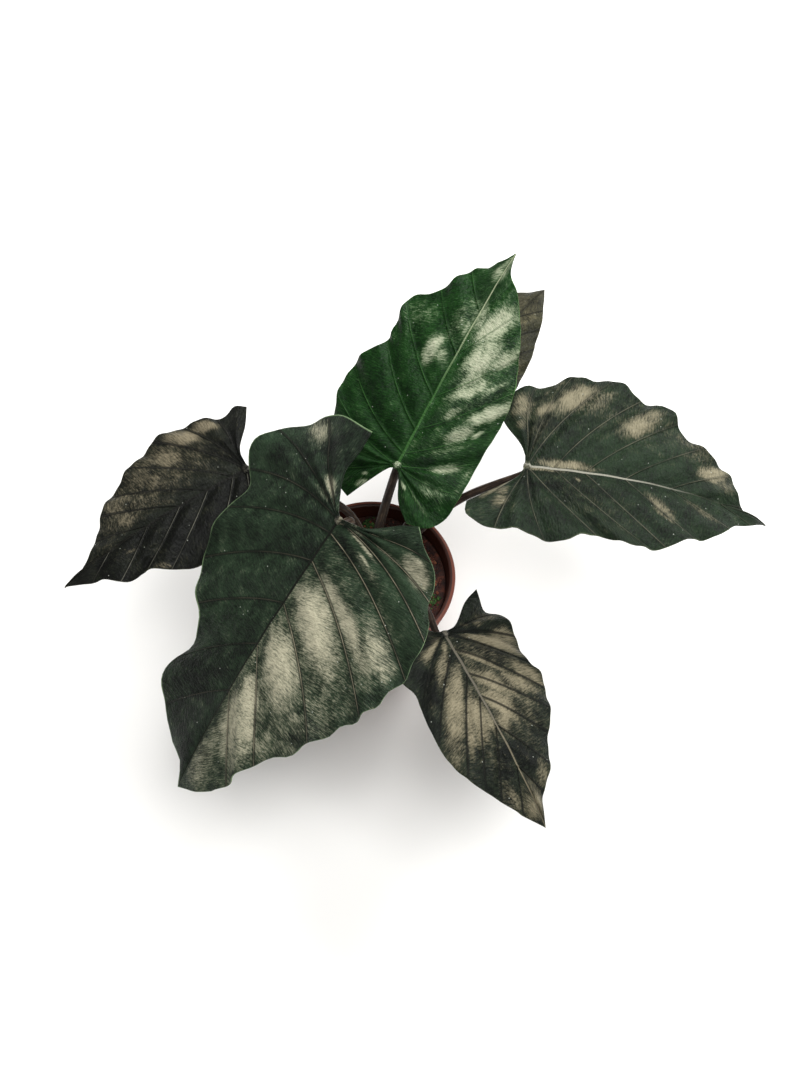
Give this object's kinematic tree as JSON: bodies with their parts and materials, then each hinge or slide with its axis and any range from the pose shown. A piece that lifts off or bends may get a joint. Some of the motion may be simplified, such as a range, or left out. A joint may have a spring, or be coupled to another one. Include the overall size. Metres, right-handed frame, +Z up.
{
  "type": "potted velvet alocasia",
  "caption": "Velvet-leaved arum house plant with dark arrow-shaped waved blades on arching stalks, standing in a round terracotta-coloured nursery pot filled with soil.",
  "frame": {"origin": "middle of the pot's flat underside", "axes": "+Z up; -Y is the side the picture was taken from; +X is to the viewer's right"},
  "size_m": [0.4681, 0.3848, 0.2425],
  "materials": {
    "pot_plastic": "moulded terracotta-coloured polypropylene",
    "soil": "coarse damp potting mix with moss",
    "crown": "papery leaf sheaths",
    "stalk": "satin dark brown leaf stalk",
    "blade_dark": "velvety green-black blade with a bronze sheen",
    "blade_young": "velvety bright deep green young blade"
  },
  "bodies": {
    "root": {"pot": "pot_plastic", "soil": "soil", "crown": "crown", "stalk_front": "stalk", "stalk_young": "stalk", "stalk_right": "stalk", "stalk_left": "stalk", "stalk_low": "stalk", "stalk_back": "stalk", "blade_front": "blade_dark", "blade_young": "blade_young", "blade_right": "blade_dark", "blade_left": "blade_dark", "blade_low": "blade_dark", "blade_back": "blade_dark"}
  },
  "joints": []
}
